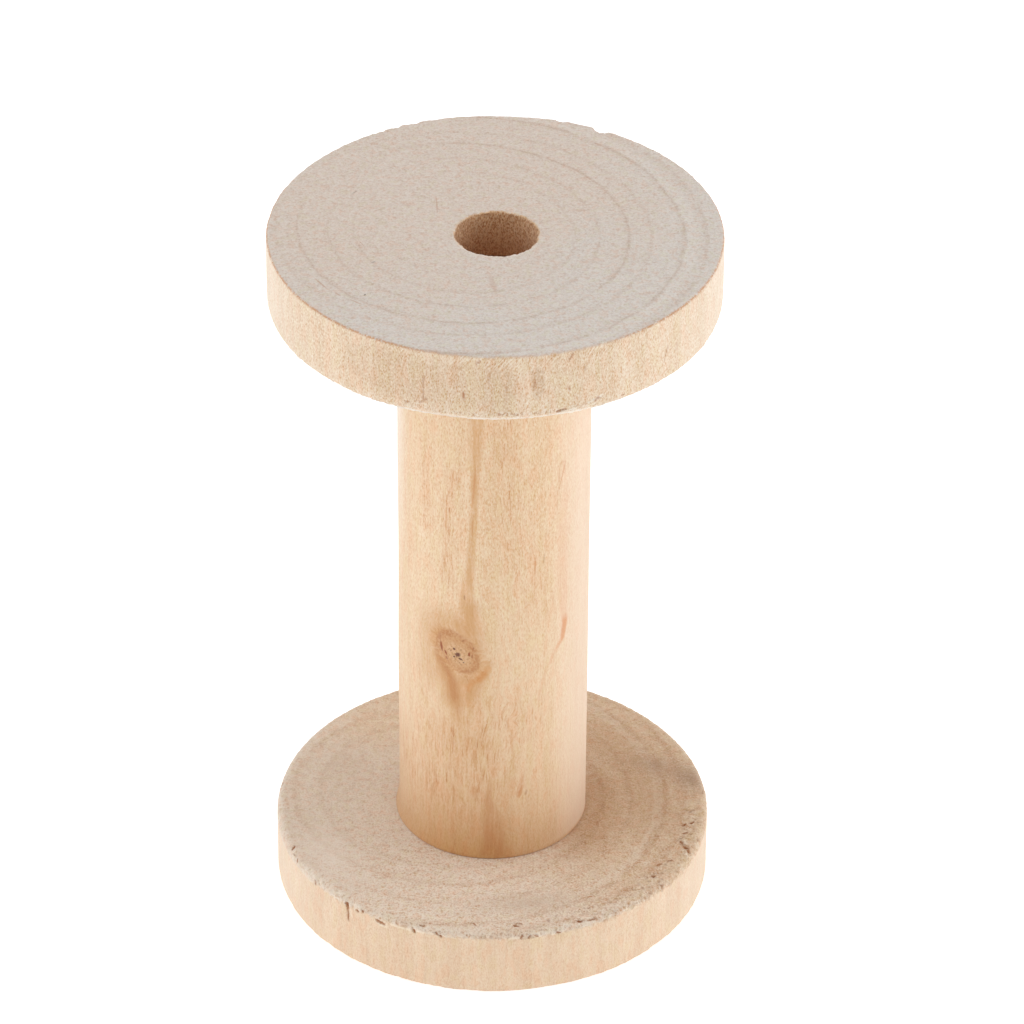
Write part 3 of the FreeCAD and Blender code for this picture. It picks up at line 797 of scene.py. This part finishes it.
barrelLook = {
    "seed": 83,
    "pith": (3.5, 4.2),                   # the log's middle, off the barrel's own axis
    "knot": (-21.6, 34.5),                # angle and height of the knot's heart
    "knotSize": 2.3,
    # painted warm shade at the foot, where the lower disc keeps light off it, all round: angles, then how
    # strong it is there
    "footRound": (
        (-80, -60, -30, 0, 14, 30, 44, 60, 90), (0.75, 0.77, 0.95, 0.96, 0.8, 0.62, 0.72, 0.92, 0.92)),
    # how strong the red stripe and the fuzz are: heights, then the share there
    "redStrength": ((30, 33.8, 34.8, 37, 38, 54), (0.2, 0.35, 1, 1, 0.3, 0.2)),
    "nap": ((12, 34, 50), (0.75, 0.95, 1.3)),
    # stripes through (angle, height, half width)
    "stripe": (
        (-9.6, 73, 1.15), (-10, 64.4, 1.1), (-10.8, 61.8, 0.95), (-10.8, 59.3, 0.85), (-11.2, 57.5, 0.65),
        (-11.6, 53, 0.6), (-12.2, 50.3, 0.6), (-13, 48, 0.65), (-14, 45, 0.75), (-15.2, 43, 0.95),
        (-15.9, 41.5, 1.2), (-15.3, 40, 1.2), (-13, 38, 1)),
    "redStripe": (
        (47.5, 53.5, 0.6), (45.4, 49.8, 1), (45.9, 44.5, 1.1), (46.6, 39.3, 0.9), (48.3, 36.9, 0.6),
        (46, 34.8, 0.5), (39.5, 33.5, 0.35), (34.3, 31.8, 0.3), (31.2, 30.4, 0.3), (29, 28.5, 0.3)),
    "footStripe": (
        (-1.4, 17.6, 0.35), (-2.4, 15.8, 0.6), (-0.6, 13.7, 1.4), (0.3, 10.6, 1.9), (0.5, 7.8, 2)),
    # soft stains and rows of dark vessels: from (angle, height) to (angle, height), half width, strength
    "stain": (
        (-39, 34.5, -33.5, 32.2, 2.2, 0.6), (-33.5, 33.4, -29.5, 31.8, 2.4, 0.95),
        (-29.5, 31.8, -25, 30.2, 2.7, 1), (-25, 30.2, -23.4, 28.4, 2.7, 1),
        (-23.4, 28.6, -19.5, 25.6, 2.2, 0.45), (-16.5, 27.6, -15.5, 25.8, 1.5, 0.3),
        (-41, 37, -38, 31, 3.4, 0.45), (-2.9, 33.8, -5.8, 32.2, 1, 0.7), (-5.8, 32.2, -10.1, 31.2, 1.3, 0.9),
        (-10.1, 31.2, -14.5, 29, 1.8, 0.85), (-14.5, 29, -13.5, 27.6, 1.3, 0.5),
        (-24, 30.6, -15, 31.4, 2.2, 0.85), (-11.2, 36.4, -9, 33.6, 1.7, 0.85),
        (-13, 40.5, -14.2, 37, 1.8, 0.7), (-20.5, 38.2, -14, 37.4, 2.6, 0.85),
        (-34, 38, -20, 38.6, 2.8, 0.6), (-26, 23.5, -12, 23.5, 4, 0.28)),
    "arcs": (
        (-35.8, 33.4, -34.2, 35.9, 0.6, 0.6), (-34.2, 35.9, -31.3, 36.7, 0.5, 1),
        (-31.3, 36.7, -25.2, 37.1, 0.6, 1), (-25.2, 37.1, -18.6, 36.7, 0.55, 0.9),
        (-18.6, 36.7, -13.8, 36.1, 0.55, 0.85), (-13.8, 36.1, -11, 35.2, 0.5, 0.8),
        (-11, 35.2, -10.1, 34.2, 0.45, 0.7), (-10.1, 34.2, -11.4, 33, 0.4, 0.6),
        (-12, 32.7, -20, 32.2, 0.35, 0.7), (-32.7, 33, -29.2, 32.2, 0.9, 0.8),
        (-29.2, 32.2, -25, 30.8, 0.9, 0.9), (-25, 30.8, -23.4, 28.6, 1.2, 0.8),
        (-23.2, 28.4, -21.5, 27.2, 1.1, 0.35)),
    "smear": (
        (-2.8, 33, -5.2, 32.3, 0.6, 0.7), (-5.2, 32.3, -8.8, 31.5, 0.7, 0.9),
        (-8.8, 31.5, -12.5, 31, 0.6, 0.8), (-12.5, 31, -14.9, 30.4, 0.5, 0.8),
        (-14.9, 30.2, -14.7, 29.9, 0.4, 0.7), (-14.2, 28.4, -14.8, 28, 0.4, 0.4)),
    "dashes": (
        (8, 56, 30, 40, 4, 0.35), (-50, 30, -40, 24, 4, 0.4), (-24, 57.5, -29.5, 52, 1.3, 0.8),
        (-29, 52, -27, 44, 1.2, 0.7), (-34, 22.5, -6.5, 22.5, 5.2, 0.9), (-16, 25, 0, 19, 4, 0.6),
        (-4, 27, 22, 26, 4.6, 0.7), (-62, 18, -22, 16.5, 7, 0.7), (44, 57.5, 40, 51, 0.8, 0.6),
        (-46, 60, -42, 50, 1.6, 0.5), (24, 49, 26, 41, 0.8, 0.5), (4, 70, 6, 60, 2.5, 0.5)),
}

barrelWood = dict(upperWood)
barrelWood.update({
    "deep": (234, 203, 166), "pale": (240, 212, 179), "streaks": 0.3, "streakTint": (240, 222, 200),
    "vessels": 0.75, "vesselTint": (228, 182, 132), "fuzzPale": 0.4, "fuzzAndHighlight": (250, 234, 210),
    "fuzzDark": 0.5, "fuzzTint": (236, 206, 168), "fuzzScale": (8.5, 8.5, 2.6), "faded": (250, 241, 230),
    # the foot's tint is a warm painted shade at the lower foot
    "paintedSheenShare": 0.6, "footShadeTint": (230, 197, 150), "footRed": (212, 156, 106), "stripe": (214, 162, 106),
    "red": (220, 142, 86), "stain": (206, 150, 92), "arcs": (192, 130, 78), "smear": (212, 142, 74),
    "heart": (207, 157, 110), "heartPale": (228, 196, 156), "moss": (136, 106, 74),
    # a pale painted sheen for the barrel's right side
    "eyeRing": (186, 126, 78), "spot": (96, 34, 18), "rosy": (238, 215, 195),
    # burnt specks in the knot: across, up, half length, half width, turn
    "spots": (
        (0.06, -0.12, 0.42, 0.35, 20), (-0.34, 0.54, 0.22, 0.17, -40), (0.38, -0.6, 0.32, 0.15, -25),
        (-0.34, -0.46, 0.17, 0.14, 10), (0.72, -0.98, 0.14, 0.09, 40)),
    # brown specks and slender dark fibres: angle, height, half length, half width, turn, strength
    "flaws": (
        (-32.2, 34.9, 0.8, 0.2, -80, 1), (-29.2, 34.25, 0.42, 0.18, -64, 1),
        (-14.2, 34.7, 0.38, 0.19, 84, 1), (-12.4, 34.5, 0.32, 0.14, 80, 0.6),
        (-28.6, 33.6, 0.32, 0.14, -50, 0.7), (-11.6, 35.5, 0.24, 0.12, 70, 0.6),
        (-18, 36.3, 0.26, 0.12, 30, 0.6), (-25.8, 34.7, 0.24, 0.12, 60, 0.6),
        (17.2, 17.2, 2.1, 0.4, 78, 0.3), (17.4, 16.4, 1.05, 0.28, 76, 0.5), (21, 16.2, 0.5, 0.2, 80, 0.3),
        (-11.6, 56, 3.4, 0.16, 86, 0.4), (-12.4, 51, 2.2, 0.14, 88, 0.35), (44.7, 55.9, 2.5, 0.12, 74, 0.4),
        (25.5, 45.6, 1.6, 0.13, 90, 0.5), (31.5, 46.2, 0.9, 0.1, 86, 0.35),
        (-27.6, 54.6, 1.2, 0.13, 80, 0.25), (-29, 51.8, 2.2, 0.14, 88, 0.22),
        (-29.6, 48.4, 1.5, 0.12, 94, 0.2), (-31.8, 43.8, 1.3, 0.11, 92, 0.25),
        (-24.6, 43.2, 1.1, 0.11, 92, 0.3), (-17.2, 41.9, 0.5, 0.14, 90, 0.4)),
    "rust": (158, 84, 40), "tan": (204, 124, 56),
})


def barrelRows(length):
    # from the bore over the upper end, down the outside, over the lower end and back up the bore
    s = barrelSizes
    bore, spigot = s["bore"], s["spigot"]
    few, many = 105, 420
    top, low = s["spigotLength"], length - s["spigotLength"]
    foot, edge = s["radius"] + s["flare"], s["footRound"]

    def flared(start, end, step):
        rows = []
        for radius, depth, ring, part in run((s["radius"], start), (s["radius"], end), step, many, "side"):
            near = min(depth - top, low - depth)
            rows.append((radius + s["flare"] * max(0, 1 - near / s["flareHeight"]) ** 2, depth, ring, part))
        return rows

    rows = path((bore, 0, 1, few, "end"), (spigot, 0, 0.5, few, "end"), (spigot, top, 0.6, many, "end"),
                (foot - edge, top))
    rows += bend((foot - edge, top + edge), edge, 90, 0, 0.09, many, "end")
    rows += flared(top + edge, 29, 0.4) + flared(29, 46, 0.2) + flared(46, low - edge, 0.4)
    rows += bend((foot - edge, low - edge), edge, 0, -90, 0.09, many, "end")
    rows += path((foot - edge, low, 0.6, many, "end"), (spigot, low, 0.5, few, "end"),
                 (spigot, length, 1, few, "end"), (bore, length, 2.5, few, "bore"), (bore, 0))
    return rows


def ribbon(angle, height, radius, line):
    # how much of a point lies on a stripe that runs through (angle, height, half width) points
    line = sorted(line, key=lambda step: step[1])
    heights = [step[1] for step in line]
    middle = np.interp(height, heights, [step[0] for step in line])
    width = np.interp(height, heights, [step[2] for step in line])
    low, high = heights[0], heights[-1]
    inside = ease(height, low - 1.5, low + 0.5) * ease(height, high + 1.5, high - 0.5)
    return ease(apart(angle, middle) * math.radians(radius) / width, 1, 0.35) * inside


def turnBarrel(name, look, material):
    low, high = (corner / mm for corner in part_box("barrel"))
    s = barrelSizes
    length = high.z - low.z
    radius = s["radius"]
    barrel = Turning(barrelRows(length), high.z, 1)
    place = barrel.points()
    angle, height = barrel.angle, barrel.height.copy()
    side = barrel.on("side")
    clear = side * ease(barrel.depth, s["spigotLength"], s["spigotLength"] + 1.5)
    clear = clear * ease(length - barrel.depth, s["spigotLength"], s["spigotLength"] + 1.5)

    def lumps(size, draw):
        return bumps(place, size, look["seed"] + draw)

    # round the knot the fibres part like water round a stone, and below it they lie in small waves
    u = aside(angle, look["knot"][0]) * math.radians(radius)
    v = height - look["knot"][1]
    size = look["knotSize"]
    away = np.hypot(u * 0.92 + 0.26 * v, v * 0.94 + 0.18 * u) + 0.22 * lumps(1.3, 0)
    parted = u * (size * 0.85) ** 2 / (u * u + 0.45 * v * v + 1.6)
    outside = ease(away, size * 0.9, size * 1.4)
    below = ease(np.hypot(aside(angle, 4) * math.radians(radius) / 4.5, (height - 27.2) / 4.2), 1.2, 0.3)
    waver = 0.35 * lumps((3, 3, 3.5), 1) * ease(away, 12, 2)
    waver = waver + below * 0.4 * lumps((1.6, 1.6, 1.9), 5)
    waver = waver + below * 0.2 * lumps((0.8, 0.8, 1), 6)
    waver = waver + 0.12 * lumps((2, 2, 7), 2)
    turned = np.radians(angle) - (parted * outside + waver) * side / radius
    log = np.stack([barrel.radius * np.sin(turned), -barrel.radius * np.cos(turned), height], axis=1)
    log = log - np.array([look["pith"][0], look["pith"][1], 0])

    # relief: feet that lean out a little, slightly uneven turning and a low swelling at the knot
    nearFoot = np.minimum(barrel.depth, length - barrel.depth) - s["spigotLength"]
    lean = s["flareLean"] * np.clip(1 - nearFoot / s["flareHeight"], 0, 1) ** 2
    lean = lean * (barrel.radius > s["spigot"] + 0.5)
    barrel.radius = barrel.radius + lean * np.cos(np.radians(angle + 80))
    barrel.push(0.035 * clear * lumps((6, 6, 14), 3))
    barrel.push(0.01 * clear * lumps((0.45, 0.45, 3), 4))
    swelling = 0.07 * clear * ease(away, size * 1.8, 0.4)
    barrel.push(swelling - 0.03 * clear * ease(np.abs(away - size), 0.5, 0.1))

    # stripes and stains, and painted sheens on the sides
    red = ribbon(angle, height, radius, look["redStripe"])
    red = red * np.interp(height, *look["redStrength"])
    marks = {kind: strokes(angle, height, radius, look[kind], core)
             for kind, core in (("stain", 0), ("arcs", 0), ("smear", 0.1), ("dashes", 0))}
    halo = 1.45 + 0.35 * ease(u, 0.5, -2)                 # the stain reaches further on the left
    marks["stain"] = np.maximum(marks["stain"], ease(away / size, halo, 0.5 * halo))
    marks.update({
        "stripe": ribbon(angle, height, radius, look["stripe"]),
        "red": red,
        "footStripe": ribbon(angle, height, radius, look["footStripe"]),
        # painted sheen: the right side of the barrel paler, where light wraps round it
        "rosy": ease(angle, 28, 66) * ease(angle, 150, 110),
        # painted sheen: the upper left side of the barrel paler, where light wraps round it
        "faded": ease(-angle, 56, 84) * ease(-angle, 178, 105) * ease(height, 38, 62),
    })
    marks = {kind: values * side for kind, values in marks.items()}
    # painted shade: the barrel darker and warmer towards its lower foot, where the lower disc keeps the light
    # off
    foot = np.clip(1 - (length - barrel.depth - s["spigotLength"]) / 24, 0, 1) ** 2.4
    marks.update({
        "grain": log,
        "knotPlace": np.stack([u, v, away], axis=1),
        "nap": np.interp(height, *look["nap"]),
        "foot": barrel.on("side", "end") * foot * np.interp(angle, *look["footRound"], period=360),
    })
    dress(meshPiece(name, barrel, marks, material), "barrel")


def knottyWood(name, look, knot, size):
    wood = Mixture(name, look)
    grain = wood.vector("grain")
    dashes = wood.number("dashes")
    relief = sideGrain(wood, grain, 0.3 + 1.2 * dashes, wood.number("nap"))
    streak = wood.noise(grain, (3.4, 3.4, 0.22), 4, 0.7)
    fine = wood.noise(grain, (6, 6, 0.5))
    wood.cover(wood.number("stripe") * streak.ease(0.25, 0.6) * 0.72, "stripe")
    wood.cover(wood.number("footStripe") * streak.ease(0.25, 0.6) * 0.6, "footRed")
    # painted shade at the lower foot
    wood.stain(wood.number("foot"), "footShadeTint")
    # painted sheen on the barrel's right side
    wood.cover(wood.number("rosy") * 0.5, "rosy")
    wood.cover(wood.number("red") * streak.ease(0.2, 0.5) * 0.75, "red")
    # painted sheen on the barrel's upper left side
    wood.cover(wood.number("faded") * look["paintedSheenShare"], "faded")

    # broad dashes where the turning tool lifted the fibres
    broad = wood.noise(grain, (4.2, 4.2, 0.5), 2, 0.6)
    wood.stain(dashes * 0.18, "vesselTint")
    wood.stain(dashes * broad.ease(0.54, 0.64) * 0.6, "vesselTint")
    wood.cover(dashes * broad.ease(0.45, 0.34) * 0.3, "fuzzAndHighlight")

    # the knot: a brown stain, darker arcs, an orange crescent and a mottled heart with burnt specks
    u, v, away = wood.axes(wood.vector("knotPlace"), 3)
    flat = wood.node("ShaderNodeCombineXYZ", {}, {0: u, 1: v})
    drift = wood.noise(flat, 1.2, 3)
    grit = wood.noise(flat, 2.8, 3, 0.7)
    reach = away + 0.6 * (drift - 0.5)
    wood.cover(wood.number("stain") * (0.82 + 0.8 * (fine - 0.5)), "stain")
    heart = reach.ease(size, size * 0.7)
    core = reach.ease(size * 0.68, size * 0.42)
    wood.cover(heart * 0.75, "heart")
    wood.cover(core * grit.ease(0.42, 0.6) * 0.6, "heartPale")
    wood.cover(core * grit.ease(0.44, 0.34) * 0.7, "moss")
    wood.cover(wood.number("arcs") * drift.ease(0.15, 0.5) * 0.75, "arcs")
    wood.cover(wood.number("smear") * grit.ease(0.2, 0.5) * 0.75, "smear")
    mottle = wood.noise(flat, (4.6, 3.4, 1), 2, 0.6)
    near = reach.ease(size * 1.5, size * 0.9) * (1 - 0.7 * core)
    wood.stain(near * mottle.ease(0.5, 0.36) * 0.3, "vesselTint")
    wood.cover(near * mottle.ease(0.5, 0.64) * 0.3, "heartPale")
    lap = reach.ease(size * 0.72, size * 0.84) * reach.ease(size, size * 0.86)
    wood.cover(lap * drift.ease(0.35, 0.6) * 0.4, "eyeRing")
    for angle, height, long, wide, turn, strength in look["flaws"]:
        across = math.radians(angle - knot[0]) * barrelSizes["radius"]
        flaw = wood.speck(flat, (across, height - knot[1], long, wide, turn), grit)
        wood.cover(flaw * strength, "tan" if long > 1 else "rust")
    burnt = wood.speck(flat, look["spots"][0], grit)
    for spot in look["spots"][1:]:
        burnt = burnt.most(wood.speck(flat, spot, grit))
    wood.cover(burnt * 0.9, "spot")
    return wood.finish(0.66 + 0.14 * fine, relief - 0.5 * burnt + 0.3 * heart * grit, 0.08)


print("spool: turning the discs and the barrel")
turnDisc("upperDisc", upperLook, discWood("upperDiscWood", upperWood, upperLook["pith"]), 1)
turnDisc("lowerDisc", lowerLook, discWood("lowerDiscWood", lowerWood, lowerLook["pith"]), -1)
barrelMaterial = knottyWood("barrelWood", barrelWood, barrelLook["knot"], barrelLook["knotSize"])
turnBarrel("spoolBarrel", barrelLook, barrelMaterial)


# floor, light and camera

studio = {
    "floorSize": 6,                       # metres, as are the places and sizes of the lights
    "floor": paint(252, 252, 252),
    "floorGlow": 0.5,
    "room": 0.5,                          # brightness of the room all round
    "aim": (0, 0, 0.04),                  # what the lights point at
    # square lights: name, place, size, watts
    "panels": (("leftPanel", (-0.9, 0.15, 0.45), 0.9, 2.6), ("rightPanel", (0.9, 0.15, 0.45), 0.9, 4.2),
               ("topPanel", (-0.35, -0.25, 1), 1, 2.2)),
}

cameraPlace = {
    "lens": 208.742,
    "elevation": 34.5046,                 # degrees above the horizon, looking along +Y
    "target": (1.91, 0, 46.17), "distance": 627.976, "roll": 0.42184,
}


def buildFloor():
    half = studio["floorSize"] / 2
    corners = [(-half, -half, 0), (half, -half, 0), (half, half, 0), (-half, half, 0)]
    mesh = bpy.data.meshes.new("studioFloor")
    mesh.from_pydata(corners, [], [(0, 1, 2, 3)])
    cloth = Mixture("paperFloor")
    skin = cloth.node("ShaderNodeBsdfPrincipled", {},
                      {"Base Color": studio["floor"], "Roughness": 0.9, "Specular IOR Level": 0.1,
                       "Emission Color": studio["floor"], "Emission Strength": studio["floorGlow"]})
    cloth.node("ShaderNodeOutputMaterial", {}, {"Surface": skin})
    mesh.materials.append(cloth.material)
    floor = bpy.data.objects.new("studioFloor", mesh)
    bpy.context.collection.objects.link(floor)


def panel(name, place, size, watts):
    light = bpy.data.lights.new(name, "AREA")
    light.shape = "SQUARE"
    light.size = size
    light.energy = watts
    lamp = bpy.data.objects.new(name, light)
    lamp.location = place
    lamp.rotation_mode = "QUATERNION"
    lamp.rotation_quaternion = (Vector(studio["aim"]) - Vector(place)).to_track_quat("-Z", "Y")
    bpy.context.collection.objects.link(lamp)


def lightRoom():
    world = bpy.data.worlds.new("studioRoom")
    world.use_nodes = True
    backdrop = world.node_tree.nodes["Background"]
    backdrop.inputs["Color"].default_value = (1, 1, 1, 1)
    backdrop.inputs["Strength"].default_value = studio["room"]
    bpy.context.scene.world = world
    for name, place, size, watts in studio["panels"]:
        panel(name, place, size, watts)
    bpy.context.scene.view_settings.view_transform = "Standard"


def placeCamera():
    lift = math.radians(cameraPlace["elevation"])
    back = Vector((0, -math.cos(lift), math.sin(lift)))
    right = Vector((1, 0, 0))
    up = right.cross(-back)
    lean = math.radians(cameraPlace["roll"])
    leanRight = math.cos(lean) * right + math.sin(lean) * up
    leanUp = math.cos(lean) * up - math.sin(lean) * right
    place = (Vector(cameraPlace["target"]) + back * cameraPlace["distance"]) * mm
    frameAxes = Matrix((leanRight, leanUp, back)).transposed()
    data = bpy.data.cameras.new("photoCamera")
    data.lens = cameraPlace["lens"]
    data.sensor_width = 36
    camera = bpy.data.objects.new("photoCamera", data)
    camera.matrix_world = Matrix.Translation(place) @ frameAxes.to_4x4()
    bpy.context.collection.objects.link(camera)
    bpy.context.scene.camera = camera


buildFloor()
lightRoom()
placeCamera()
print("spool: floor, light and camera are set")
